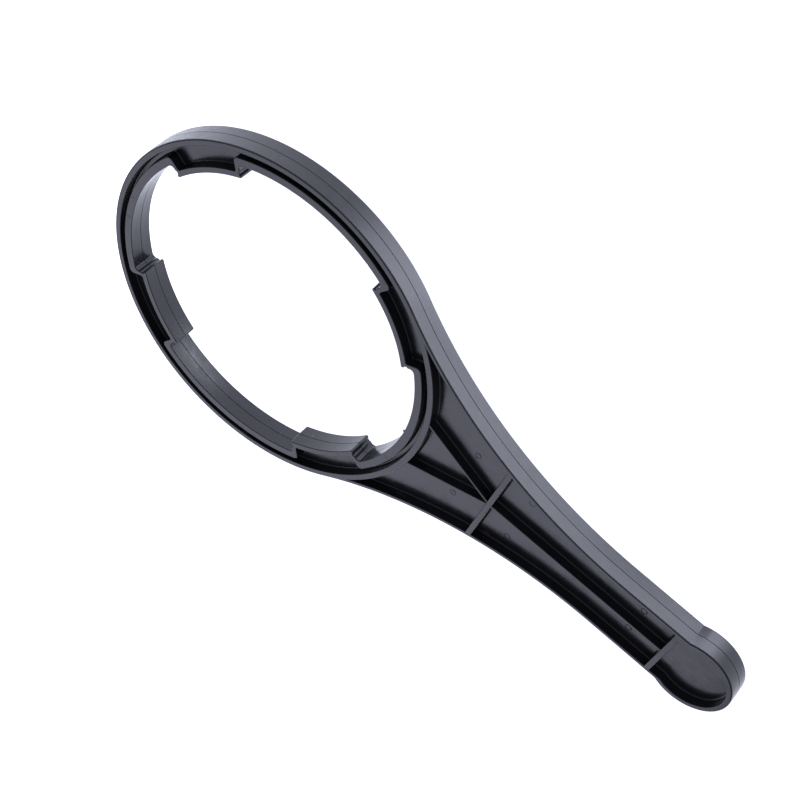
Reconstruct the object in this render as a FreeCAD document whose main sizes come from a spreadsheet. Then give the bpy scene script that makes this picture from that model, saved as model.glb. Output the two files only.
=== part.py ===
"""Ring wrench for a water filter housing: one flat moulding, drawn as its walls, ribs and web panels.

The wrench lies flat on z = 0. The ring's centre is the origin, the handle runs along +X, +Z is up.
Every wall stands the full thickness, from the back rim (z = 0) to the front rim. The web is a thin
floor at mid-depth, so the same pockets are open on the front and on the back.
Looking from the ring towards the handle's end, "left" is the +Y side and "right" is the -Y side.
"""
import FreeCAD, Part

import math
import os

import Sketcher

# Driving dimensions, in millimetres and degrees: alias, value, meaning.
DRIVING = (
    ("body_thickness", 9.3, "height of every wall and rib"),
    ("web_thickness", 2.3, "floor of the pockets, at mid-depth"),
    ("ring_outer_radius", 65.0, "outside of the ring"),
    ("ring_wall", 2.3, "outer wall of the ring"),
    ("partition_half_angle", 50.0, "half of the arc that parts the ring's channel from the handle"),
    ("socket_radius", 57.75, "round inner wall, between the lugs"),
    ("socket_wall", 3.0, "thickness of that inner wall"),
    ("lug_count", 4, "drive lugs round the socket"),
    ("first_lug_angle", 44.5, "middle of the first lug, from the handle's axis"),
    ("lug_radius", 53.05, "inner face of the lugs"),
    ("lug_wall", 2.3, "thickness of the lug's inner wall"),
    ("lug_half_angle", 15.2, "middle of a lug to its drive face"),
    ("lug_end_angle", 1.7, "thickness of a lug's end wall, as an angle"),
    ("handle_half_width", 13.2, "half the width of the straight grip"),
    ("flare_radius", 154.0, "arc between the ring and the grip, tangent to both"),
    ("rim_wall", 1.6, "side walls of the handle"),
    ("rim_start_angle", 47.0, "where a side wall leaves the ring"),
    ("front_rib_x", 92.5, "ring side of the front cross rib"),
    ("rear_rib_x", 163.4, "ring side of the rear cross rib"),
    ("cross_rib_wall", 2.0, "thickness of both cross ribs"),
    ("centre_rib_wall", 1.1, "thickness of the rib along the grip"),
    ("vee_rib_wall", 0.9, "thickness of the two slanting ribs"),
    ("vee_rib_angle", 21.2, "slant of those ribs to the handle's axis"),
    ("vee_rib_end_y", 0.6, "their middle line's distance from the axis at the front cross rib"),
    ("paddle_x", 175.25, "centre of the round end"),
    ("paddle_radius", 14.9, "outside of the round end"),
    ("paddle_wall", 2.1, "wall of the round end"),
    ("gate_angle", -5.0, "place of the gate mark on the inner wall"),
    ("gate_size", 1.3, "circumradius of the three-sided gate mark"),
    ("gate_proud", 0.65, "how far the gate mark stands in from the wall"),
    ("gate_height", 1.6, "height of the gate mark"),
)

doc = FreeCAD.newDocument("filter_housing_wrench")
sheet = doc.addObject("Spreadsheet::Sheet", "dims")
for row, (alias, value, meaning) in enumerate(DRIVING, start=1):
    sheet.set("A%d" % row, alias)
    sheet.set("B%d" % row, str(value))
    sheet.set("C%d" % row, meaning)
    sheet.setAlias("B%d" % row, alias)
doc.recompute()

# Lengths that follow from the driving ones, as expressions that the sketches share.
RING_OUT = "dims.ring_outer_radius"
RING_IN = "(dims.ring_outer_radius - dims.ring_wall)"
SOCKET_IN = "dims.socket_radius"
SOCKET_OUT = "(dims.socket_radius + dims.socket_wall)"
LUG_IN = "dims.lug_radius"
LUG_OUT = "(dims.lug_radius + dims.lug_wall)"
LUG_PITCH = "(360 / dims.lug_count)"
DRIVE_FACE = "dims.lug_half_angle"
LUG_BACK = "(dims.lug_half_angle - dims.lug_end_angle)"
GRIP_OUT = "dims.handle_half_width"
GRIP_IN = "(dims.handle_half_width - dims.rim_wall)"
FLARE_IN = "(dims.flare_radius + dims.rim_wall)"
# The flare's centre: as high as its radius above the grip's side, and a ring radius plus a flare
# radius away from the ring's centre, which makes the arc tangent to both.
FLARE_Y = "(dims.handle_half_width + dims.flare_radius)"
FLARE_X = "sqrt((dims.ring_outer_radius + dims.flare_radius)^2 - %s^2)" % FLARE_Y
FRONT_RIB_END = "(dims.front_rib_x + dims.cross_rib_wall)"
REAR_RIB_END = "(dims.rear_rib_x + dims.cross_rib_wall)"
PADDLE_IN = "(dims.paddle_radius - dims.paddle_wall)"
# Where the grip's side meets the round end.
SHOULDER_X = "(dims.paddle_x - sqrt(dims.paddle_radius^2 - dims.handle_half_width^2))"

CCW, CW = 1, -1


def number(expression):
    """Value of an expression in the sheet's own units."""
    value = sheet.evalExpression(str(expression))
    return float(getattr(value, "Value", value))


# An outline is a list of curves, each met by the next at a corner.
def circle(radius, turn, x=None, y=None):
    """Arc about (x, y), or about the ring's centre, walked counter-clockwise or clockwise."""
    return {"kind": "circle", "radius": radius, "turn": turn, "x": x, "y": y}


def at_x(x):
    return {"kind": "vertical", "x": x}


def at_y(y):
    return {"kind": "horizontal", "y": y}


def ray(angle):
    """Line through the ring's centre, at an angle in degrees from +X."""
    return {"kind": "ray", "angle": angle}


def slant(x, y, angle):
    """Line through (x, y), at an angle in degrees from +X."""
    return {"kind": "slant", "x": x, "y": y, "angle": angle}


# Places for a curve whose start corner has a twin on the other side of the handle's axis.
ABOVE, BELOW = (0.0, 1e4), (0.0, -1e4)


def starting(place, curve):
    """The same curve, with the place of its own start corner."""
    return dict(curve, start=place)


def as_line(curve):
    """A point on a straight curve and its direction."""
    if curve["kind"] == "vertical":
        return (number(curve["x"]), 0.0), (0.0, 1.0)
    if curve["kind"] == "horizontal":
        return (0.0, number(curve["y"])), (1.0, 0.0)
    angle = math.radians(number(curve["angle"]))
    point = (0.0, 0.0) if curve["kind"] == "ray" else (number(curve["x"]), number(curve["y"]))
    return point, (math.cos(angle), math.sin(angle))


def centre_of(curve):
    return (number(curve["x"]), number(curve["y"])) if curve["x"] else (0.0, 0.0)


def crossings(first, second):
    """Every point where two curves meet."""
    if first["kind"] == "circle" and second["kind"] == "circle":
        (ax, ay), (bx, by) = centre_of(first), centre_of(second)
        ra, rb = number(first["radius"]), number(second["radius"])
        gap = math.hypot(bx - ax, by - ay)
        ux, uy = (bx - ax) / gap, (by - ay) / gap
        along = (gap * gap + ra * ra - rb * rb) / (2 * gap)
        off = math.sqrt(max(ra * ra - along * along, 0.0))
        return [(ax + ux * along - uy * k * off, ay + uy * along + ux * k * off) for k in (1, -1)]
    if first["kind"] == "circle":
        first, second = second, first
    (px, py), (dx, dy) = as_line(first)
    if second["kind"] == "circle":
        cx, cy = centre_of(second)
        foot = (cx - px) * dx + (cy - py) * dy
        clear = math.hypot(px + foot * dx - cx, py + foot * dy - cy)
        half = math.sqrt(max(number(second["radius"]) ** 2 - clear ** 2, 0.0))
        return [(px + (foot + k * half) * dx, py + (foot + k * half) * dy) for k in (1, -1)]
    (qx, qy), (ex, ey) = as_line(second)
    step = ((qx - px) * ey - (qy - py) * ex) / (dx * ey - dy * ex)
    return [(px + step * dx, py + step * dy)]


def corners_of(outline, near):
    """Start corner of every curve, taking the crossing nearest to the given place.

    A curve may name its own place in "start", where two crossings lie equally near.
    """
    corners = []
    for index, curve in enumerate(outline):
        hx, hy = curve.get("start", near)
        found = crossings(outline[index - 1], curve)
        corners.append(min(found, key=lambda p: math.hypot(p[0] - hx, p[1] - hy)))
    return corners


def constrain(sketch, expression, *constraint):
    """Add a sized constraint and bind it to the sheet."""
    value = number(expression)
    if constraint[0] == "Angle":
        value = math.radians(value)
        expression = "(%s) * 1 deg" % expression
    index = sketch.addConstraint(Sketcher.Constraint(*constraint, value))
    sketch.setExpression("Constraints[%d]" % index, expression)


def draw(sketch, outline, near):
    """Draw a closed outline and tie every curve to the sheet."""
    corners = corners_of(outline, near)
    ends = []
    for index, curve in enumerate(outline):
        a, b = corners[index], corners[(index + 1) % len(corners)]
        if curve["kind"] == "circle":
            cx, cy = centre_of(curve)
            from_angle, to_angle = (math.atan2(p[1] - cy, p[0] - cx) for p in (a, b))
            if curve["turn"] == CW:
                from_angle, to_angle = to_angle, from_angle
            while to_angle <= from_angle:
                to_angle += 2 * math.pi
            whole = Part.Circle(FreeCAD.Vector(cx, cy, 0), FreeCAD.Vector(0, 0, 1), number(curve["radius"]))
            geo = sketch.addGeometry(Part.ArcOfCircle(whole, from_angle, to_angle), False)
            ends.append((geo, 1, 2) if curve["turn"] == CCW else (geo, 2, 1))
        else:
            line = Part.LineSegment(FreeCAD.Vector(a[0], a[1], 0), FreeCAD.Vector(b[0], b[1], 0))
            geo = sketch.addGeometry(line, False)
            ends.append((geo, 1, 2))
    for index, (geo, start, end) in enumerate(ends):
        next_geo, next_start, next_end = ends[(index + 1) % len(ends)]
        sketch.addConstraint(Sketcher.Constraint("Coincident", geo, end, next_geo, next_start))
    for index, (curve, (geo, start, end)) in enumerate(zip(outline, ends)):
        a, b = corners[index], corners[(index + 1) % len(corners)]
        if curve["kind"] == "circle":
            if curve["x"]:
                constrain(sketch, curve["x"], "DistanceX", -1, 1, geo, 3)
                constrain(sketch, curve["y"], "DistanceY", -1, 1, geo, 3)
            else:
                sketch.addConstraint(Sketcher.Constraint("Coincident", geo, 3, -1, 1))
            constrain(sketch, curve["radius"], "Radius", geo)
        elif curve["kind"] == "vertical":
            sketch.addConstraint(Sketcher.Constraint("Vertical", geo))
            constrain(sketch, curve["x"], "DistanceX", -1, 1, geo, 1)
        elif curve["kind"] == "horizontal":
            sketch.addConstraint(Sketcher.Constraint("Horizontal", geo))
            constrain(sketch, curve["y"], "DistanceY", -1, 1, geo, 1)
        else:
            # The angle of a drawn line is that of its own direction, start to end.
            drawn = math.atan2(b[1] - a[1], b[0] - a[0])
            stated = math.radians(number(curve["angle"]))
            along = math.cos(drawn - stated) > 0
            angle = curve["angle"] if along else "(%s) + 180" % curve["angle"]
            constrain(sketch, angle, "Angle", geo)
            if curve["kind"] == "ray":
                sketch.addConstraint(Sketcher.Constraint("PointOnObject", -1, 1, geo))
            else:
                offset = "abs(%(x)s * sin(%(angle)s * 1 deg) - %(y)s * cos(%(angle)s * 1 deg))" % curve
                constrain(sketch, offset, "Distance", -1, 1, geo)


def slab(label, outline, near, web=False, turned=False, spin=None):
    """One body: an outline raised to the full thickness, or to the web's at mid-depth.

    turned swaps +Y for -Y by half a turn about the handle's axis, spin turns it about the ring's.
    """
    body = doc.addObject("PartDesign::Body", label)
    body.Label = label
    sketch = body.newObject("Sketcher::SketchObject", label + "_outline")
    plane = [f for f in body.Origin.OriginFeatures if f.Role == "XY_Plane"][0]
    sketch.AttachmentSupport = [(plane, "")]
    sketch.MapMode = "FlatFace"
    draw(sketch, outline, near)
    pad = body.newObject("PartDesign::Pad", label + "_pad")
    pad.Profile = sketch
    pad.setExpression("Length", "dims.web_thickness" if web else "dims.body_thickness")
    if turned:
        body.Placement.Rotation = FreeCAD.Rotation(FreeCAD.Vector(1, 0, 0), 180)
        lift = "(dims.body_thickness + dims.web_thickness) / 2" if web else "dims.body_thickness"
    else:
        lift = "(dims.body_thickness - dims.web_thickness) / 2" if web else "0"
    body.setExpression("Placement.Base.z", lift)
    if spin is not None:
        body.Placement.Rotation = FreeCAD.Rotation(FreeCAD.Vector(0, 0, 1), 1)
        body.setExpression("Placement.Rotation.Angle", "(%s) * 1 deg" % spin)
    return body


def sector(inner, outer, half_angle):
    """Ring sector about +X."""
    return [circle(outer, CCW), ray(half_angle), circle(inner, CW), ray("-(%s)" % half_angle)]


# The ring: its outer wall, and that wall's arc between the channel and the handle's pockets.
slab("ring_outer_wall", sector(RING_IN, RING_OUT, "-dims.partition_half_angle"), (1.0, 0.0))
slab("ring_partition_wall", sector(RING_IN, RING_OUT, "dims.partition_half_angle"), (60.0, 0.0))

# Four hollow lugs step in from the socket's wall: an inner wall with an end wall at each side.
# Between them run plain stretches of socket wall. Web panels close the channel at mid-depth.
for k in range(int(number("dims.lug_count"))):
    lug_angle = "dims.first_lug_angle + %d * %s" % (k, LUG_PITCH)
    gap_angle = "dims.first_lug_angle + (%d - 0.5) * %s" % (k, LUG_PITCH)
    gap_half_wall = "(%s / 2 - %s)" % (LUG_PITCH, DRIVE_FACE)
    gap_half_web = "(%s / 2 - %s)" % (LUG_PITCH, LUG_BACK)
    slab("drive_lug_%d" % (k + 1),
         [circle(SOCKET_OUT, CCW), ray(DRIVE_FACE), circle(LUG_IN, CW), ray("-" + DRIVE_FACE),
          circle(SOCKET_OUT, CCW), ray("-" + LUG_BACK), circle(LUG_OUT, CCW), ray(LUG_BACK)],
         (60.0, 0.0), spin=lug_angle)
    slab("lug_web_%d" % (k + 1), sector(LUG_OUT, RING_IN, LUG_BACK), (60.0, 0.0), web=True, spin=lug_angle)
    slab("socket_wall_%d" % (k + 1), sector(SOCKET_IN, SOCKET_OUT, gap_half_wall), (60.0, 0.0), spin=gap_angle)
    slab("channel_web_%d" % (k + 1), sector(SOCKET_OUT, RING_IN, gap_half_web), (60.0, 0.0), web=True,
         spin=gap_angle)

# The gate mark: a small three-sided point at mid-depth on the stretch of wall beside the handle.
gate = doc.getObject("socket_wall_1").newObject("PartDesign::AdditivePrism", "gate_mark")
gate.Polygon = 3
gate.setExpression("Circumradius", "dims.gate_size")
gate.setExpression("Height", "dims.gate_height")
GATE_REACH = "(dims.socket_radius - dims.gate_proud + dims.gate_size)"
gate.Placement.Rotation = FreeCAD.Rotation(FreeCAD.Vector(0, 0, 1), 1)
gate.setExpression("Placement.Rotation.Angle", "(180 + dims.gate_angle) * 1 deg")
gate.setExpression("Placement.Base.x", "%s * cos(dims.gate_angle * 1 deg)" % GATE_REACH)
gate.setExpression("Placement.Base.y", "%s * sin(dims.gate_angle * 1 deg)" % GATE_REACH)
gate.setExpression("Placement.Base.z", "(dims.body_thickness - dims.gate_height) / 2")

# The handle: each side has a flared wall, a straight grip wall, a slanting rib and four web panels.
FLARE = {"x": FLARE_X, "y": FLARE_Y}
VEE_ANGLE = "(180 - dims.vee_rib_angle)"
VEE_OFF_X = "(dims.vee_rib_wall / 2 * sin(dims.vee_rib_angle * 1 deg))"
VEE_OFF_Y = "(dims.vee_rib_wall / 2 * cos(dims.vee_rib_angle * 1 deg))"
vee_outer = slant("(dims.front_rib_x + %s)" % VEE_OFF_X, "(dims.vee_rib_end_y + %s)" % VEE_OFF_Y, VEE_ANGLE)
vee_inner = slant("(dims.front_rib_x - %s)" % VEE_OFF_X, "(dims.vee_rib_end_y - %s)" % VEE_OFF_Y, VEE_ANGLE)
CENTRE_RIB_SIDE = "(dims.centre_rib_wall / 2)"

for side, turned in (("left", False), ("right", True)):
    slab("flare_wall_" + side,
         [circle("dims.flare_radius", CW, **FLARE), ray("dims.rim_start_angle"), circle(RING_OUT, CW),
          circle(FLARE_IN, CCW, **FLARE), at_x(FLARE_X)],
         (60.0, 40.0), turned=turned)
    slab("grip_wall_" + side, [at_y(GRIP_OUT), at_x(FLARE_X), at_y(GRIP_IN), at_x(SHOULDER_X)],
         (160.0, 12.0), turned=turned)
    slab("vee_rib_" + side, [vee_outer, circle(RING_OUT, CW), vee_inner, at_x("dims.front_rib_x")],
         (64.0, 11.0), turned=turned)
    slab("root_web_" + side,
         [circle(FLARE_IN, CW, **FLARE), circle(RING_OUT, CW), vee_outer, at_x("dims.front_rib_x")],
         (75.0, 22.0), web=True, turned=turned)
    slab("neck_web_" + side,
         [circle(FLARE_IN, CW, **FLARE), at_x(FRONT_RIB_END), at_y(CENTRE_RIB_SIDE), at_x(FLARE_X)],
         (120.0, 10.0), web=True, turned=turned)
    slab("grip_web_" + side,
         [at_y(GRIP_IN), at_x(FLARE_X), at_y(CENTRE_RIB_SIDE), at_x("dims.rear_rib_x")],
         (150.0, 6.0), web=True, turned=turned)

# On the handle's axis: the panel between the slanting ribs, the cross ribs, the centre rib and the
# round end with its own floor. A mirrored curve keeps the outline symmetrical about the axis.
FLARE_BELOW = {"x": FLARE_X, "y": "-" + FLARE_Y}
vee_inner_below = slant("(dims.front_rib_x - %s)" % VEE_OFF_X, "-(dims.vee_rib_end_y - %s)" % VEE_OFF_Y,
                        "(180 + dims.vee_rib_angle)")
slab("root_web_centre", [vee_inner, circle(RING_OUT, CW), vee_inner_below, at_x("dims.front_rib_x")],
     (80.0, 0.0), web=True)
slab("front_cross_rib",
     [circle(FLARE_IN, CW, **FLARE), at_x("dims.front_rib_x"), circle(FLARE_IN, CW, **FLARE_BELOW),
      at_x(FRONT_RIB_END)],
     (95.0, 0.0))
slab("centre_rib", [at_y(CENTRE_RIB_SIDE), at_x(FRONT_RIB_END), at_y("-" + CENTRE_RIB_SIDE),
                    at_x("dims.rear_rib_x")], (130.0, 0.0))
slab("rear_cross_rib", [at_y(GRIP_IN), at_x("dims.rear_rib_x"), at_y("-" + GRIP_IN), at_x(REAR_RIB_END)],
     (166.0, 0.0))
PADDLE = {"x": "dims.paddle_x", "y": "0"}
slab("paddle_wall",
     [starting(BELOW, circle("dims.paddle_radius", CCW, **PADDLE)), starting(ABOVE, at_x(SHOULDER_X)),
      at_y(GRIP_IN), circle(PADDLE_IN, CW, **PADDLE), at_y("-" + GRIP_IN), at_x(SHOULDER_X)],
     (170.0, 0.0))
slab("paddle_web",
     [circle(PADDLE_IN, CCW, **PADDLE), at_y(GRIP_IN), at_x(REAR_RIB_END), at_y("-" + GRIP_IN)],
     (170.0, 0.0), web=True)

doc.recompute()
bodies = [item for item in doc.Objects if item.TypeId == "PartDesign::Body"]
for item in doc.Objects:
    if "Invalid" in item.State or "Error" in item.State:
        raise RuntimeError("%s failed: %s" % (item.Label, item.State))
for item in doc.Objects:
    if item.TypeId == "Sketcher::SketchObject" and not item.FullyConstrained:
        raise RuntimeError("%s is not fully constrained" % item.Label)
os.makedirs("parts", exist_ok=True)
for body in bodies:
    shape = body.Shape
    if shape.isNull() or not shape.isValid() or len(shape.Solids) != 1:
        raise RuntimeError("%s is not one valid solid" % body.Label)
    shape.exportStep("parts/%s.step" % body.Label)
    box = shape.BoundBox
    print("%-22s %9.1f mm3  x %7.2f..%7.2f  y %7.2f..%7.2f  z %5.2f..%5.2f" % (
        body.Label, shape.Volume, box.XMin, box.XMax, box.YMin, box.YMax, box.ZMin, box.ZMax))
print("%d parts written" % len(bodies))
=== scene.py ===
import math

import bpy
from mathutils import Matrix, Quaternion, Vector


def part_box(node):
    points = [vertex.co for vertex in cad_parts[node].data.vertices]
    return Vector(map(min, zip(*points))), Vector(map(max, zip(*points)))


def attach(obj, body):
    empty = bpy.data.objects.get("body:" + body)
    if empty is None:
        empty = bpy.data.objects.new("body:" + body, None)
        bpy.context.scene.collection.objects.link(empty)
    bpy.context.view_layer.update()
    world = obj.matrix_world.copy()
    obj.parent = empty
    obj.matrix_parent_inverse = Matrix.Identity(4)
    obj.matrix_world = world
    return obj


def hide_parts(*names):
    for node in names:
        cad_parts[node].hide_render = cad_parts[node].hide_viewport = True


# The ring wrench's looks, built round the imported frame.
#
# Each CAD node gets one finished piece of the same plan shape, with what the mould gives it: draft from
# the parting line, rounded rims, fillets at the foot of each wall, the gate mark and the ejector marks.
# Lengths are in millimetres until a mesh is made. The ring's centre is the origin, the handle runs
# along +X, and z = 0 is the back rim plane. A plan outline is walked with the material on its left.

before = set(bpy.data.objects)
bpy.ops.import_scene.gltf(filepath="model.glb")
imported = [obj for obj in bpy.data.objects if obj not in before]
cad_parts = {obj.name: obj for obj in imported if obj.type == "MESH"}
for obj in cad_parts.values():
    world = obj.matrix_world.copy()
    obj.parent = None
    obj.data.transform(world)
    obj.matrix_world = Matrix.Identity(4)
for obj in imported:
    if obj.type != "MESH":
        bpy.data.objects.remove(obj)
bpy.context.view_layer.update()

MM = 0.001
CCW, CW = 1, -1


def low(node, axis):
    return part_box(node)[0][axis] / MM


def high(node, axis):
    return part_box(node)[1][axis] / MM


X, Y, Z = 0, 1, 2

# Sizes read from the frame.
HEIGHT = high("ring_outer_wall", Z)
MIDDLE = HEIGHT / 2
WEB_LOW, WEB_HIGH = low("paddle_web", Z), high("paddle_web", Z)
RING_OUT = high("ring_outer_wall", Y)
RING_IN = high("channel_web_2", Y)
SOCKET_OUT = high("socket_wall_2", Y)
GRIP_OUT, GRIP_IN = high("grip_wall_left", Y), low("grip_wall_left", Y)
FLARE_X = low("grip_wall_left", X)
FRONT_RIB, FRONT_RIB_END = low("front_cross_rib", X), high("front_cross_rib", X)
REAR_RIB, REAR_RIB_END = low("rear_cross_rib", X), high("rear_cross_rib", X)
CENTRE_RIB_SIDE = high("centre_rib", Y)
PADDLE_RADIUS = high("paddle_wall", Y)
PADDLE_X = high("paddle_wall", X) - PADDLE_RADIUS
PADDLE_IN = high("paddle_web", X) - PADDLE_X
LUG_IN = 53.05

# The flare's radius follows from being tangent to the ring and to the grip.
FLARE_RADIUS = (FLARE_X ** 2 + GRIP_OUT ** 2 - RING_OUT ** 2) / (2 * (RING_OUT - GRIP_OUT))
FLARE_CENTRE = (FLARE_X, GRIP_OUT + FLARE_RADIUS)
FLARE_IN = FLARE_RADIUS + GRIP_OUT - GRIP_IN
TANGENT_ANGLE = math.degrees(math.atan2(FLARE_CENTRE[1], FLARE_CENTRE[0]))

# Sizes that no box of the frame gives.
SOCKET_IN = 57.75
LUG_OUT = 55.35
LUG_COUNT = 4
LUG_PITCH = 360 / LUG_COUNT
FIRST_LUG = 44.5
DRIVE_FACE = 15.2
LUG_END_WALL = 1.7
VEE_ANGLE = 21.2
VEE_HALF_WALL = 0.45
VEE_END_Y = 0.6
GATE_ANGLE = -5.0

# Mould detail.
DRAFT = math.radians(1.0)
OUTSIDE_ROUND = 0.55
BORE_ROUND = 0.3
POCKET_ROUND = 0.25
FOOT_FILLET = 0.5
RIB_DROP = 0.25
PARTING_HALF_WIDTH = 0.12
PARTING_DEPTH = 0.14
RIM_STEPS = 4
WALL_STEPS = 5
ARC_STEP = 1.0
LINE_STEP = 6.0
TURN_STEPS = 24
OVERLAP = 0.3
PARTITION_END = 34.0


# ---- Plan curves ----

class Arc:
    """Part of a circle. begin and end are the directions of its ends where it rounds a corner."""

    def __init__(self, centre, radius, turn, face, begin=None, end=None, place=None):
        self.centre, self.radius, self.turn, self.face = centre, radius, turn, face
        self.begin, self.end, self.place = begin, end, place

    def moved(self, inward):
        """The same arc, moved into the material."""
        radius = self.radius - self.turn * inward
        return Arc(self.centre, radius, self.turn, self.face, self.begin, self.end, self.place)

    def at(self, angle):
        x, y = self.centre
        return x + self.radius * math.cos(angle), y + self.radius * math.sin(angle)

    def foot(self, point):
        return self.at(self.angle(point))

    def angle(self, point):
        return math.atan2(point[1] - self.centre[1], point[0] - self.centre[0])

    def sweep(self, a, b):
        start, stop = self.angle(a), self.angle(b)
        turned = (stop - start) * self.turn % (2 * math.pi)
        return start, turned * self.turn

    def steps(self, a, b):
        turned = abs(self.sweep(a, b)[1])
        return max(math.ceil(turned * self.radius / ARC_STEP), math.ceil(turned / math.radians(12)), 1)

    def samples(self, a, b, count):
        """Points from a to b, each with its outward direction."""
        start, turned = self.sweep(a, b)
        for i in range(count + 1):
            angle = start + turned * i / count
            yield self.at(angle), (self.turn * math.cos(angle), self.turn * math.sin(angle))

    def mirrored(self):
        """Seen in the X axis and walked the other way."""
        begin = None if self.end is None else -self.end
        end = None if self.begin is None else -self.begin
        return Arc((self.centre[0], -self.centre[1]), self.radius, self.turn, self.face, begin, end)


class Line:
    """Straight line through a point. heading is the way it is walked, in degrees from +X."""
    begin = end = None

    def __init__(self, point, heading, face, place=None):
        self.point, self.heading, self.face, self.place = point, heading, face, place
        self.along = (math.cos(math.radians(heading)), math.sin(math.radians(heading)))

    def moved(self, inward):
        """The same line, moved into the material."""
        x, y = self.point
        ux, uy = self.along
        return Line((x - uy * inward, y + ux * inward), self.heading, self.face, self.place)

    def foot(self, point):
        (x, y), (ux, uy) = self.point, self.along
        reach = (point[0] - x) * ux + (point[1] - y) * uy
        return x + reach * ux, y + reach * uy

    def steps(self, a, b):
        return max(math.ceil(math.dist(a, b) / LINE_STEP), 1)

    def samples(self, a, b, count):
        ux, uy = self.along
        for i in range(count + 1):
            share = i / count
            yield (a[0] + (b[0] - a[0]) * share, a[1] + (b[1] - a[1]) * share), (uy, -ux)

    def mirrored(self):
        return Line((self.point[0], -self.point[1]), 180 - self.heading, self.face)


def ring_arc(radius, turn, face):
    return Arc((0.0, 0.0), radius, turn, face)


def ray(angle, outward=True):
    """Seam along a line through the ring's centre."""
    return Line((0.0, 0.0), angle if outward else angle + 180, "seam")


def crossings(first, second):
    if isinstance(first, Arc) and isinstance(second, Arc):
        (ax, ay), (bx, by) = first.centre, second.centre
        gap = math.dist(first.centre, second.centre)
        ux, uy = (bx - ax) / gap, (by - ay) / gap
        along = (gap ** 2 + first.radius ** 2 - second.radius ** 2) / (2 * gap)
        off = math.sqrt(max(first.radius ** 2 - along ** 2, 0.0))
        return [(ax + ux * along - uy * k * off, ay + uy * along + ux * k * off) for k in (1, -1)]
    if isinstance(first, Arc):
        first, second = second, first
    (px, py), (ux, uy) = first.point, first.along
    if isinstance(second, Arc):
        foot = first.foot(second.centre)
        half = math.sqrt(max(second.radius ** 2 - math.dist(foot, second.centre) ** 2, 0.0))
        return [(foot[0] + k * half * ux, foot[1] + k * half * uy) for k in (1, -1)]
    (qx, qy), (vx, vy) = second.point, second.along
    step = ((qx - px) * vy - (qy - py) * vx) / (ux * vy - uy * vx)
    return [(px + step * ux, py + step * uy)]


def nearest(points, place):
    return min(points, key=lambda p: math.dist(p, place))


def rounding(first, second, radius, turn, place):
    """Arc tangent to both curves: CCW rounds a convex corner, CW fills a concave one."""
    centre = nearest(crossings(first.moved(turn * radius), second.moved(turn * radius)), place)
    arc = Arc(centre, radius, turn, first.face)
    arc.begin, arc.end = arc.angle(first.foot(centre)), arc.angle(second.foot(centre))
    return arc


def corners(outline, near):
    """Start corner of each curve: a rounding's own end, or the crossing with the curve before.

    Of two crossings it is the one nearest to the curve's own place, or else to near.
    """
    found = []
    for before, curve in zip([outline[-1]] + outline[:-1], outline):
        if curve.begin is not None:
            found.append(curve.at(curve.begin))
        elif before.end is not None:
            found.append(before.at(before.end))
        else:
            found.append(nearest(crossings(before, curve), curve.place or near))
    return found


# ---- Wall sections ----
# A section lists the levels from the back rim to the front: height, distance moved in, and the outward
# direction just below and just above the level, each as (out, up).

def rim_levels(top, radius, wall_in):
    """Rounded front rim, from the wall up. wall_in gives how far in the wall is at a height."""
    centre_z = top - radius
    centre_in = wall_in(centre_z + radius * math.sin(DRAFT)) + radius * math.cos(DRAFT)
    for i in range(RIM_STEPS + 1):
        angle = DRAFT + (math.pi / 2 - DRAFT) * i / RIM_STEPS
        out, up = math.cos(angle), math.sin(angle)
        yield centre_z + radius * up, centre_in - radius * out, (out, up), (out, up)


def with_back(front):
    """A whole section from its front half, whose first level is at mid-height."""
    back = [(HEIGHT - z, inward, (above[0], -above[1]), (below[0], -below[1]))
            for z, inward, below, above in reversed(front)]
    z, inward, below, _ = back[-1]
    return back[:-1] + [(z, inward, below, front[0][3])] + front[1:]


def open_section(radius):
    """A face on the outside or in the socket: draft both ways from a fine groove at the parting line."""
    def wall_in(z):
        return (z - MIDDLE) * math.tan(DRAFT)

    lean = (math.cos(DRAFT), math.sin(DRAFT))
    slope = math.hypot(PARTING_HALF_WIDTH, PARTING_DEPTH)
    groove = (PARTING_HALF_WIDTH / slope, -PARTING_DEPTH / slope)
    start, stop = MIDDLE + PARTING_HALF_WIDTH, HEIGHT - radius
    front = [(MIDDLE, PARTING_DEPTH, groove, groove)]
    for i in range(WALL_STEPS):
        z = start + (stop - start) * i / WALL_STEPS
        front.append((z, wall_in(z), lean if i else groove, lean))
    front.extend(rim_levels(HEIGHT, radius, wall_in))
    return with_back(front)


def pocket_section(drop=0.0):
    """A face in a pocket: rounded rim, draft, and a fillet where it meets the web. drop lowers the rim."""
    top = HEIGHT - drop

    def wall_in(z):
        return (z - top + POCKET_ROUND) * math.tan(DRAFT)

    centre_z = WEB_HIGH + FOOT_FILLET
    centre_in = wall_in(centre_z) - FOOT_FILLET / math.cos(DRAFT)
    upright = (1.0, 0.0)
    front = [(MIDDLE, centre_in, upright, upright)]
    for i in range(WALL_STEPS):
        angle = math.pi / 2 + (DRAFT - math.pi / 2) * i / (WALL_STEPS - 1)
        out, up = math.cos(angle), math.sin(angle)
        level = (centre_z - FOOT_FILLET * up, centre_in + FOOT_FILLET * out)
        front.append((*level, (out, up) if i else upright, (out, up)))
    front.extend(rim_levels(top, POCKET_ROUND, wall_in))
    return with_back(front)


def web_section():
    """The hidden upright edge of a web panel, which reaches a little way into the walls."""
    upright = (1.0, 0.0)
    return [(z, -OVERLAP, upright, upright) for z in (WEB_LOW, WEB_HIGH)]


SECTIONS = {
    "outside": open_section(OUTSIDE_ROUND),
    "grained": open_section(OUTSIDE_ROUND),
    "bore": open_section(BORE_ROUND),
    "pocket": pocket_section(),
    "rib": pocket_section(RIB_DROP),
    "web": web_section(),
}


# ---- Meshes ----

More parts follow.
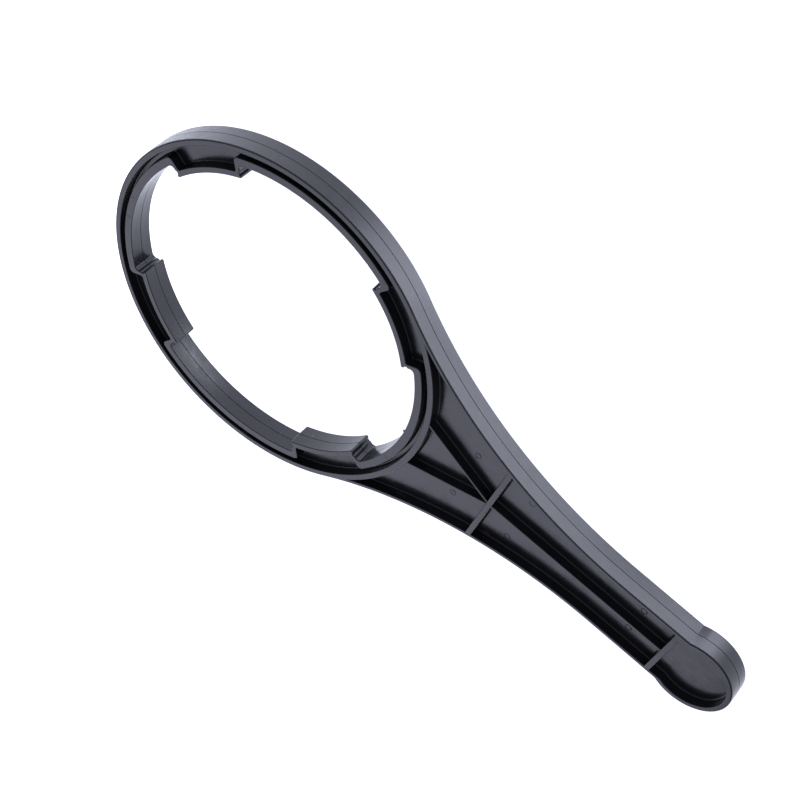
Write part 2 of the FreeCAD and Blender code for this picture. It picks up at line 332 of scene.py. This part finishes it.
class Shell:
    """A mesh in the making: points, faces, the direction of each face corner and which faces are grained."""

    def __init__(self):
        self.points, self.faces, self.directions, self.grained = [], [], [], []

    def add_wall(self, outline, near):
        """Closed solid on a plan outline, with each face of it at its own section."""
        pairs = list(zip(outline, [outline[-1]] + outline[:-1]))
        section_of = [SECTIONS.get(curve.face) for curve in outline]
        corner_section = [SECTIONS.get(curve.face) or SECTIONS[before.face] for curve, before in pairs]
        nominal = corners(outline, near)
        following = nominal[1:] + nominal[:1]
        counts = [curve.steps(a, b) for curve, a, b in zip(outline, nominal, following)]
        size, levels = sum(counts), len(corner_section[0])
        base = len(self.points)
        outward = []
        for level in range(levels):
            moved = [curve.moved(s[level][1] if s else 0.0) for curve, s in zip(outline, section_of)]
            ends = corners(moved, near)
            heights = [s[level][0] for s in corner_section]
            row = []
            for i, curve in enumerate(moved):
                j = (i + 1) % len(outline)
                sampled = list(curve.samples(ends[i], ends[j], counts[i]))
                row.append([direction for _, direction in sampled])
                for step, ((x, y), _) in enumerate(sampled[:-1]):
                    z = heights[i] + (heights[j] - heights[i]) * step / counts[i]
                    self.points.append((x, y, section_of[i][level][0] if section_of[i] else z))
            outward.append(row)
        for level in range(levels - 1):
            first = base + level * size
            index = 0
            for i, count in enumerate(counts):
                section = section_of[i] or corner_section[i]
                lower, upper = section[level][3], section[level + 1][2]
                below, above = outward[level][i], outward[level + 1][i]
                for step in range(count):
                    a, b = index + step, (index + step + 1) % size
                    self.faces.append((first + a, first + b, first + size + b, first + size + a))
                    self.grained.append(outline[i].face == "grained")
                    for (x, y), (out, up) in ((below[step], lower), (below[step + 1], lower),
                                              (above[step + 1], upper), (above[step], upper)):
                        self.directions.append((x * out, y * out, up))
                index += count
        self.grained.extend([False, False])
        top = base + (levels - 1) * size
        self.faces.append(tuple(range(top, top + size)))
        self.directions.extend([(0.0, 0.0, 1.0)] * size)
        self.faces.append(tuple(range(base + size - 1, base - 1, -1)))
        self.directions.extend([(0.0, 0.0, -1.0)] * size)

    def add_turned(self, profile, place, axis):
        """Closed solid turned about an axis through a place.

        profile lists (distance along the axis, radius) from the hidden end to the tip.
        """
        axis = Vector(axis).normalized()
        side = axis.orthogonal().normalized()
        rays = []
        for i in range(TURN_STEPS):
            angle = 2 * math.pi * i / TURN_STEPS
            rays.append(side * math.cos(angle) + axis.cross(side) * math.sin(angle))
        base = len(self.points)
        for along, radius in profile:
            self.points.extend(tuple(Vector(place) + axis * along + ray * radius) for ray in rays)
        for k, ((a_along, a_radius), (b_along, b_radius)) in enumerate(zip(profile, profile[1:])):
            first = base + k * TURN_STEPS
            for i in range(TURN_STEPS):
                j = (i + 1) % TURN_STEPS
                self.faces.append((first + i, first + j, first + TURN_STEPS + j, first + TURN_STEPS + i))
                self.grained.append(False)
                for ray in (rays[i], rays[j], rays[j], rays[i]):
                    out = (ray * (b_along - a_along) - axis * (b_radius - a_radius)).normalized()
                    self.directions.append(tuple(out))
        self.grained.extend([False, False])
        last = base + (len(profile) - 1) * TURN_STEPS
        self.faces.append(tuple(range(last, last + TURN_STEPS)))
        self.directions.extend([tuple(axis)] * TURN_STEPS)
        self.faces.append(tuple(range(base + TURN_STEPS - 1, base - 1, -1)))
        self.directions.extend([tuple(-axis)] * TURN_STEPS)

    def object(self, name, turned=False, spin=0.0):
        """The mesh object. turned is half a turn about the handle's axis, spin a turn about the ring's."""
        flip, lift = (-1.0, HEIGHT) if turned else (1.0, 0.0)
        cos, sin = math.cos(math.radians(spin)), math.sin(math.radians(spin))

        def placed(vector, raised, scale):
            x, y, z = vector[0], vector[1] * flip, vector[2] * flip + raised
            return ((x * cos - y * sin) * scale, (x * sin + y * cos) * scale, z * scale)

        mesh = bpy.data.meshes.new(name)
        mesh.from_pydata([placed(p, lift, MM) for p in self.points], [], self.faces)
        mesh.materials.append(PLASTIC)
        mesh.materials.append(GRAINED_PLASTIC)
        mesh.polygons.foreach_set("material_index", [int(is_grained) for is_grained in self.grained])
        mesh.polygons.foreach_set("use_smooth", [True] * len(mesh.polygons))
        mesh.normals_split_custom_set([placed(d, 0.0, 1.0) for d in self.directions])
        made = bpy.data.objects.new(name, mesh)
        bpy.context.scene.collection.objects.link(made)
        return made


# ---- Materials ----

# The Mix node's colour sockets share their names with its other kinds, so they are taken by number.
MIX_FIRST_COLOUR, MIX_SECOND_COLOUR, MIX_COLOUR = 6, 7, 2


class Graph:
    """Short ways to add shader nodes. A value given to a node is a number or another node's output."""

    def __init__(self, tree):
        self.nodes, self.links = tree.nodes, tree.links

    def add(self, kind, **inputs):
        node = self.nodes.new(kind)
        for name, value in inputs.items():
            self.put(node.inputs[name], value)
        return node

    def put(self, socket, value):
        if isinstance(value, bpy.types.NodeSocket):
            self.links.new(value, socket)
        else:
            socket.default_value = value

    def math(self, operation, first, second):
        node = self.nodes.new("ShaderNodeMath")
        node.operation = operation
        self.put(node.inputs[0], first)
        self.put(node.inputs[1], second)
        return node.outputs["Value"]

    def between(self, value, start, stop, low=0.0, high=1.0):
        """low at start, high at stop, with a soft change from one to the other."""
        node = self.nodes.new("ShaderNodeMapRange")
        node.interpolation_type = "SMOOTHSTEP"
        for name, setting in (("Value", value), ("From Min", start), ("From Max", stop),
                              ("To Min", low), ("To Max", high)):
            self.put(node.inputs[name], setting)
        return node.outputs["Result"]

    def blend(self, share, first, second):
        """first where share is 0, second where it is 1."""
        node = self.nodes.new("ShaderNodeMapRange")
        for name, setting in (("Value", share), ("To Min", first), ("To Max", second)):
            self.put(node.inputs[name], setting)
        return node.outputs["Result"]

    def mix(self, share, first, second):
        """Colour mix: first where share is 0, second where it is 1."""
        node = self.nodes.new("ShaderNodeMix")
        node.data_type = "RGBA"
        self.put(node.inputs["Factor"], share)
        self.put(node.inputs[MIX_FIRST_COLOUR], first)
        self.put(node.inputs[MIX_SECOND_COLOUR], second)
        return node.outputs[MIX_COLOUR]

    def spot(self, place, centre, inner, outer):
        """1 within inner millimetres of a plan point, 0 beyond outer."""
        node = self.nodes.new("ShaderNodeVectorMath")
        node.operation = "DISTANCE"
        self.put(node.inputs[0], place)
        node.inputs[1].default_value = (centre[0] * MM, centre[1] * MM, 0.0)
        return self.between(node.outputs["Value"], outer * MM, inner * MM)

    def noise(self, place, scale, detail, stretch=(1.0, 1.0, 1.0)):
        """Noise, 0 to 1. scale is in features per metre."""
        node = self.nodes.new("ShaderNodeVectorMath")
        node.operation = "MULTIPLY"
        self.put(node.inputs[0], place)
        node.inputs[1].default_value = stretch
        noise = self.add("ShaderNodeTexNoise", Vector=node.outputs["Vector"], Scale=scale, Detail=detail)
        return noise.outputs["Fac"]


# Noise scales are in features per metre. A stretch under 1 draws the pattern out along the handle.
MOTTLE_SCALE = 260.0
FLOW_SCALE, FLOW_STRETCH = 900.0, (0.12, 1.0, 1.0)
SCUFF_SCALE, SCUFF_STRETCH = 520.0, (0.35, 1.0, 1.0)
SCUFF_PATCH_SCALE = 90.0
SCUFF_COLOUR = (0.05, 0.05, 0.058, 1.0)
SCUFF_ROUGHNESS = 0.48


def moulded_plastic(name, dark, pale, smoothest, grain_scale, grain_depth):
    """Satin black plastic: fine mould texture, flow marks along the handle, and a few pale scuffs.

    The colour lies between dark and pale. smoothest is the least roughness, grain_depth is in millimetres.
    """
    material = bpy.data.materials.new(name)
    material.use_nodes = True
    graph = Graph(material.node_tree)
    shader = graph.nodes["Principled BSDF"]
    shader.inputs["IOR"].default_value = 1.5
    place = graph.add("ShaderNodeTexCoord").outputs["Object"]
    mottle = graph.noise(place, MOTTLE_SCALE, 4.0)
    flow = graph.noise(place, FLOW_SCALE, 3.0, FLOW_STRETCH)
    grain = graph.noise(place, grain_scale, 2.0)
    scratches = graph.between(graph.noise(place, SCUFF_SCALE, 6.0, SCUFF_STRETCH), 0.62, 0.7)
    patches = graph.between(graph.noise(place, SCUFF_PATCH_SCALE, 2.0), 0.5, 0.62)
    scuff = graph.math("MULTIPLY", scratches, patches)

    tone = graph.mix(mottle, dark, pale)
    graph.put(shader.inputs["Base Color"], graph.mix(scuff, tone, SCUFF_COLOUR))
    satin = graph.math("ADD", graph.between(mottle, 0.3, 0.7, smoothest, smoothest + 0.06),
                       graph.between(flow, 0.3, 0.7, -0.02, 0.03))
    graph.put(shader.inputs["Roughness"], graph.blend(scuff, satin, SCUFF_ROUGHNESS))
    height = graph.math("ADD", graph.math("MULTIPLY", grain, 0.5), graph.math("MULTIPLY", flow, 0.5))
    bump = graph.add("ShaderNodeBump", Strength=0.3, Distance=grain_depth * MM, Height=height)
    graph.put(shader.inputs["Normal"], bump.outputs["Normal"])
    return material


# The outer walls of the ring and the handle are grained, and all else is smoother.
PLASTIC = moulded_plastic("black_moulded_plastic", dark=(0.012, 0.012, 0.016, 1.0),
                          pale=(0.02, 0.02, 0.026, 1.0), smoothest=0.2, grain_scale=4200.0, grain_depth=0.02)
GRAINED_PLASTIC = moulded_plastic("black_grained_plastic", dark=(0.019, 0.020, 0.023, 1.0),
                                  pale=(0.03, 0.031, 0.035, 1.0), smoothest=0.33, grain_scale=2200.0,
                                  grain_depth=0.16)


def finish_piece(node, shell, **placing):
    piece = shell.object(node + "_moulding", **placing)
    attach(piece, "root")
    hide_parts(node)
    return piece


def make(node, outline, near, details=(), **placing):
    """A piece from its outline, with turned details on it: (profile, place, axis) each."""
    shell = Shell()
    shell.add_wall(outline, near)
    for detail in details:
        shell.add_turned(*detail)
    return finish_piece(node, shell, **placing)


# ---- The ring ----

def sector(inner, outer, half_angle, inner_face, outer_face):
    """Ring sector about +X, with seams at its ends."""
    return [ring_arc(outer, CCW, outer_face), ray(half_angle, False), ring_arc(inner, CW, inner_face),
            ray(-half_angle)]


def lug_end(v, u):
    """Point beside a lug's drive face: u out from the ring's centre, v away from the lug."""
    angle = math.radians(DRIVE_FACE)
    return (u * math.cos(angle) - v * math.sin(angle), u * math.sin(angle) + v * math.cos(angle))


# A lug's end face: a fillet at the socket wall, a groove and a rounded tip, each as a radius and the v of
# its centre in lug_end. The seams and fillets of the lug's wall follow.
ROOT_RADIUS = 1.4
ROOT_V = 1.4
TIP_RADIUS = 0.7
TIP_V = -0.35
GROOVE_RADIUS = 0.8
GROOVE_V = 0.45
LUG_SEAM = DRIVE_FACE + 2.4
CORNER_ROUND = 1.8
BACK_FILLET = 0.7
WEB_SEAM = DRIVE_FACE - 0.8


def lug_outline():
    """U-shaped wall round a lug, about +X: socket side first, then the channel side."""
    socket = ring_arc(SOCKET_IN, CW, "bore")
    face = ring_arc(LUG_IN, CW, "bore")
    root_u = math.sqrt((SOCKET_IN - ROOT_RADIUS) ** 2 - ROOT_V ** 2)
    tip_u = math.sqrt((LUG_IN + TIP_RADIUS) ** 2 - TIP_V ** 2)
    groove_u = tip_u + math.sqrt((TIP_RADIUS + GROOVE_RADIUS) ** 2 - (GROOVE_V - TIP_V) ** 2)
    root = Arc(lug_end(ROOT_V, root_u), ROOT_RADIUS, CW, "bore")
    groove = Arc(lug_end(GROOVE_V, groove_u), GROOVE_RADIUS, CW, "bore", place=lug_end(-1.0, root_u))
    tip = Arc(lug_end(TIP_V, tip_u), TIP_RADIUS, CCW, "bore")
    root.begin = root.angle(socket.foot(root.centre))
    tip.begin = tip.angle(groove.centre)
    tip.end = tip.angle(face.foot(tip.centre))
    socket_side = [socket, root, groove, tip]

    outer = ring_arc(SOCKET_OUT, CCW, "pocket")
    back = ring_arc(LUG_OUT, CCW, "pocket")
    wall = Line(lug_end(-LUG_END_WALL, LUG_OUT), DRIVE_FACE, "pocket")
    fill = rounding(back, wall, BACK_FILLET, CW, lug_end(-LUG_END_WALL, LUG_OUT))
    corner = rounding(wall, outer, CORNER_ROUND, CCW, lug_end(0.0, SOCKET_OUT))
    channel_side = [fill, wall, corner, outer]

    outline = socket_side + [face] + mirror(socket_side)
    outline += [ray(-LUG_SEAM)] + mirror(channel_side) + [back] + channel_side + [ray(LUG_SEAM, False)]
    return outline


def mirror(curves):
    """Curves seen in the X axis, in the order that keeps the material on the left."""
    made = []
    for curve, after in reversed(list(zip(curves, curves[1:] + [None]))):
        copy = curve.mirrored()
        if after is not None and after.place:
            copy.place = (after.place[0], -after.place[1])
        made.append(copy)
    return made


def unspun(detail, spin):
    """A turned detail given in its final place, turned back by the spin that its piece will get."""
    profile, place, axis = detail
    back = Quaternion((0.0, 0.0, 1.0), -math.radians(spin))
    return profile, tuple(back @ Vector(place)), tuple(back @ Vector(axis))


def gate_mark():
    """Pointed stub left by the gate, at mid-depth on the wall beside the handle."""
    profile = ((-0.4, 1.0), (0.0, 0.85), (0.4, 0.55), (0.8, 0.3), (1.1, 0.1))
    angle = math.radians(GATE_ANGLE)
    out_x, out_y = math.cos(angle), math.sin(angle)
    return profile, (SOCKET_IN * out_x, SOCKET_IN * out_y, MIDDLE), (-out_x, -out_y, 0.0)


RING_NEAR = (60.0, 0.0)

for k in range(LUG_COUNT):
    number = k + 1
    lug_angle = FIRST_LUG + k * LUG_PITCH
    gap_angle = lug_angle - LUG_PITCH / 2
    gate = [unspun(gate_mark(), gap_angle)] if k == 0 else ()
    make("drive_lug_%d" % number, lug_outline(), RING_NEAR, spin=lug_angle)
    make("lug_web_%d" % number, sector(LUG_OUT, RING_IN, WEB_SEAM, "web", "web"), RING_NEAR, spin=lug_angle)
    make("socket_wall_%d" % number,
         sector(SOCKET_IN, SOCKET_OUT, LUG_PITCH / 2 - LUG_SEAM, "bore", "pocket"),
         RING_NEAR, details=gate, spin=gap_angle)
    make("channel_web_%d" % number,
         sector(SOCKET_OUT - OVERLAP, RING_IN, LUG_PITCH / 2 - WEB_SEAM, "web", "web"),
         RING_NEAR, spin=gap_angle)

make("ring_outer_wall", sector(RING_IN, RING_OUT, -TANGENT_ANGLE, "pocket", "grained"), (1.0, 0.0))
make("ring_partition_wall", sector(RING_IN, RING_OUT, PARTITION_END, "pocket", "pocket"), RING_NEAR)


# ---- The handle ----

RIM_TOP_IN = SECTIONS["pocket"][-1][1]
# Ejector pins on the left side's webs. The right side's are their mirror images.
ROOT_PIN = (81.5, 12.0)
NECK_PIN = (104.0, 11.0)
GRIP_PIN = (151.8, 6.0)
SEAM_X = REAR_RIB_END + 1.5
VEE = math.radians(VEE_ANGLE)


def vee_side(offset, face, towards_ring):
    """Side of the left slanting rib, offset outwards from its middle line."""
    point = (FRONT_RIB + offset * math.sin(VEE), VEE_END_Y + offset * math.cos(VEE))
    return Line(point, 180 - VEE_ANGLE if towards_ring else -VEE_ANGLE, face)


def flare(radius, turn, face):
    return Arc(FLARE_CENTRE, radius, turn, face)


def flare_below(radius, turn, face):
    return Arc((FLARE_CENTRE[0], -FLARE_CENTRE[1]), radius, turn, face)


def upright(x, heading, face="seam"):
    return Line((x, 0.0), heading, face)


def level_line(y, heading, face="seam", place=None):
    return Line((0.0, y), heading, face, place)


def paddle(radius, turn, face, place):
    return Arc((PADDLE_X, 0.0), radius, turn, face, place=place)


def ejector_mark(place, turned):
    """Round mark of an ejector pin: a low rim on the web's front, also where the web is the turned copy."""
    profile = ((-0.2, 1.25), (0.0, 1.25), (0.1, 1.15), (0.12, 1.0), (0.1, 0.9), (0.02, 0.8), (0.02, 0.3))
    x, y = place
    if turned:
        return profile, (x, y, HEIGHT - WEB_HIGH), (0.0, 0.0, -1.0)
    return profile, (x, y, WEB_HIGH), (0.0, 0.0, 1.0)


for side, turned in (("left", False), ("right", True)):
    make("flare_wall_" + side,
         [flare(FLARE_RADIUS, CW, "grained"), ray(TANGENT_ANGLE, False), ring_arc(RING_IN, CW, "pocket"),
          ray(PARTITION_END), ring_arc(RING_OUT, CCW, "pocket"), flare(FLARE_IN, CCW, "pocket"),
          upright(FLARE_X, 90)],
         (60.0, 40.0), turned=turned)
    make("grip_wall_" + side,
         [level_line(GRIP_OUT, 180, "grained"), upright(FLARE_X, -90), level_line(GRIP_IN, 0, "pocket"),
          upright(SEAM_X, 90)],
         (160.0, 12.0), turned=turned)
    make("vee_rib_" + side,
         [vee_side(VEE_HALF_WALL, "rib", True), ring_arc(RING_OUT - OVERLAP, CW, "seam"),
          vee_side(-VEE_HALF_WALL, "rib", False), upright(FRONT_RIB + OVERLAP, 90)],
         (64.0, 11.0), turned=turned)
    make("root_web_" + side,
         [flare(FLARE_IN, CW, "web"), ring_arc(RING_OUT, CW, "web"), vee_side(VEE_HALF_WALL, "web", False),
          upright(FRONT_RIB, 90, "web")],
         (75.0, 22.0), details=[ejector_mark(ROOT_PIN, turned)], turned=turned)
    make("neck_web_" + side,
         [flare(FLARE_IN, CW, "web"), upright(FRONT_RIB_END, -90, "web"),
          level_line(CENTRE_RIB_SIDE, 0, "web"), upright(FLARE_X, 90)],
         (120.0, 10.0), details=[ejector_mark(NECK_PIN, turned)], turned=turned)
    make("grip_web_" + side,
         [level_line(GRIP_IN, 180, "web"), upright(FLARE_X, -90), level_line(CENTRE_RIB_SIDE, 0, "web"),
          upright(REAR_RIB, 90, "web")],
         (150.0, 6.0), details=[ejector_mark(GRIP_PIN, turned)], turned=turned)

vee_inner = vee_side(-VEE_HALF_WALL, "web", True)
make("root_web_centre",
     [vee_inner, ring_arc(RING_OUT, CW, "web"), vee_inner.mirrored(), upright(FRONT_RIB, 90, "web")],
     (80.0, 0.0))
make("front_cross_rib",
     [flare(FLARE_IN - RIM_TOP_IN, CW, "seam"), upright(FRONT_RIB, -90, "pocket"),
      flare_below(FLARE_IN - RIM_TOP_IN, CW, "seam"), upright(FRONT_RIB_END, 90, "pocket")],
     (95.0, 0.0))
make("centre_rib",
     [level_line(CENTRE_RIB_SIDE, 180, "rib"), upright(FRONT_RIB_END - OVERLAP, -90),
      level_line(-CENTRE_RIB_SIDE, 0, "rib"), upright(REAR_RIB + OVERLAP, 90)],
     (130.0, 0.0))
make("rear_cross_rib",
     [level_line(GRIP_IN + RIM_TOP_IN, 180), upright(REAR_RIB, -90, "pocket"),
      level_line(-GRIP_IN - RIM_TOP_IN, 0), upright(REAR_RIB_END, 90, "pocket")],
     (166.0, 0.0))
SHOULDER, INNER_SHOULDER = (170.0, GRIP_OUT), (171.0, GRIP_IN)
make("paddle_wall",
     [paddle(PADDLE_RADIUS, CCW, "outside", (SHOULDER[0], -SHOULDER[1])),
      level_line(GRIP_OUT, 180, "grained", SHOULDER), upright(SEAM_X, -90),
      level_line(GRIP_IN, 0, "pocket"), paddle(PADDLE_IN, CW, "pocket", INNER_SHOULDER),
      level_line(-GRIP_IN, 180, "pocket", (INNER_SHOULDER[0], -INNER_SHOULDER[1])), upright(SEAM_X, -90),
      level_line(-GRIP_OUT, 0, "grained")],
     (170.0, 0.0))
make("paddle_web",
     [paddle(PADDLE_IN, CCW, "web", (INNER_SHOULDER[0], -INNER_SHOULDER[1])),
      level_line(GRIP_IN, 180, "web", INNER_SHOULDER), upright(REAR_RIB_END, -90, "web"),
      level_line(-GRIP_IN, 0, "web")],
     (170.0, 0.0))


# ---- Studio ----

# The floor is over-exposed white, and it glows though it is no lamp: painted light, which the outer wall and
# the socket reflect. The glow is painted uneven, like a softbox's light: brightest beside the handle, and
# least inside the ring and past the round end.
FLOOR_DEPTH = 30.0
BRIGHTEST = 5.1
LEAST = 0.222
# Shares of the brightest, at places along the handle.
GLOW_ALONG = ((-110, 0.45), (-92, 0.32), (-50, LEAST), (-5, LEAST), (28, 0.82), (66, 1.0), (206, 1.0),
              (222, LEAST))
# Round patches of painted light on it, each as its centre, its inner and outer radius, and its share: a
# painted pool of light that the socket's far wall reflects, and painted dim patches for the paddle's
# shoulder and the flare.
GLOW_SPOTS = (((3.0, -4.5), 6, 10, 1.8), ((145.0, 43.0), 9, 15, LEAST), ((88.0, 66.0), 7, 14, LEAST))


def floor():
    """Big pale plane under the wrench, glowing with the uneven painted light."""
    bpy.ops.mesh.primitive_plane_add(size=20.0, location=(0.0, 0.0, -FLOOR_DEPTH * MM))
    made = bpy.context.active_object
    made.name = "floor"
    material = bpy.data.materials.new("painted_glow_floor")
    material.use_nodes = True
    graph = Graph(material.node_tree)
    shader = graph.nodes["Principled BSDF"]
    shader.inputs["Base Color"].default_value = (0.8, 0.8, 0.8, 1.0)
    shader.inputs["Roughness"].default_value = 0.9
    shader.inputs["Emission Color"].default_value = (0.82, 0.85, 1.0, 1.0)

    place = graph.add("ShaderNodeTexCoord").outputs["Object"]
    axes = graph.add("ShaderNodeSeparateXYZ", Vector=place).outputs
    x, y = axes["X"], axes["Y"]
    start, stop = GLOW_ALONG[0][0], GLOW_ALONG[-1][0]
    glow = graph.add("ShaderNodeValToRGB", Fac=graph.between(x, start * MM, stop * MM))
    ramp = glow.color_ramp
    while len(ramp.elements) < len(GLOW_ALONG):
        ramp.elements.new(1.0)
    for element, (at, share) in zip(ramp.elements, GLOW_ALONG):
        element.position = (at - start) / (stop - start)
        element.color = (share, share, share, 1.0)
    # Painted dim zones in the floor's glow: left of the handle and behind the ring.
    left_of_handle = graph.between(y, 34 * MM, 50 * MM)
    behind_ring = graph.between(x, -42 * MM, -60 * MM)
    beside = graph.math("MAXIMUM", left_of_handle, behind_ring)
    lit = graph.blend(beside, LEAST, glow.outputs["Color"])
    # Painted pools of light and painted dim patches on the floor.
    for centre, inner, outer, share in GLOW_SPOTS:
        lit = graph.blend(graph.spot(place, centre, inner, outer), lit, share)
    # The floor glows with this painted light, though it is no lamp.
    graph.links.new(graph.math("MULTIPLY", lit, BRIGHTEST), shader.inputs["Emission Strength"])
    made.data.materials.append(material)


def area_light(name, place, aim, size, power, colour):
    """Rectangular lamp. Its place, aim and size are in metres, its power in watts."""
    data = bpy.data.lights.new(name, "AREA")
    data.shape = "RECTANGLE"
    data.size, data.size_y = size
    data.energy = power
    data.color = colour
    lamp = bpy.data.objects.new(name, data)
    lamp.location = place
    lamp.rotation_mode = "QUATERNION"
    lamp.rotation_quaternion = (Vector(aim) - Vector(place)).to_track_quat("-Z", "Y")
    bpy.context.scene.collection.objects.link(lamp)


def camera():
    """Camera above and beside the handle, rolled so that the handle runs down to the right."""
    data = bpy.data.cameras.new("camera")
    data.sensor_width = 36.0
    data.lens = 78.83
    data.clip_start, data.clip_end = 0.01, 50.0
    made = bpy.data.objects.new("camera", data)
    place = Vector((120.87, 451.26, 333.53)) * MM
    aim = Vector((50.56, 6.32, MIDDLE)) * MM
    roll = math.radians(-134.436)
    made.location = place
    made.rotation_mode = "QUATERNION"
    made.rotation_quaternion = (aim - place).to_track_quat("-Z", "Y") @ Quaternion((0.0, 0.0, 1.0), roll)
    bpy.context.scene.collection.objects.link(made)
    bpy.context.scene.camera = made


floor()
camera()
area_light("back_softbox", place=(-0.18, -0.95, 0.72), aim=(0.05, 0.0, 0.0), size=(1.1, 0.8), power=4.1,
           colour=(0.8, 0.82, 1.0))
area_light("low_strip", place=(0.65, -0.95, 0.16), aim=(0.05, 0.0, 0.0), size=(0.8, 0.2), power=2.0,
           colour=(0.86, 0.88, 1.0))

world = bpy.data.worlds.new("studio")
world.use_nodes = True
world.node_tree.nodes["Background"].inputs["Color"].default_value = (0.85, 0.88, 1.0, 1.0)
world.node_tree.nodes["Background"].inputs["Strength"].default_value = 0.3
bpy.context.scene.world = world
bpy.context.scene.view_settings.view_transform = "Standard"
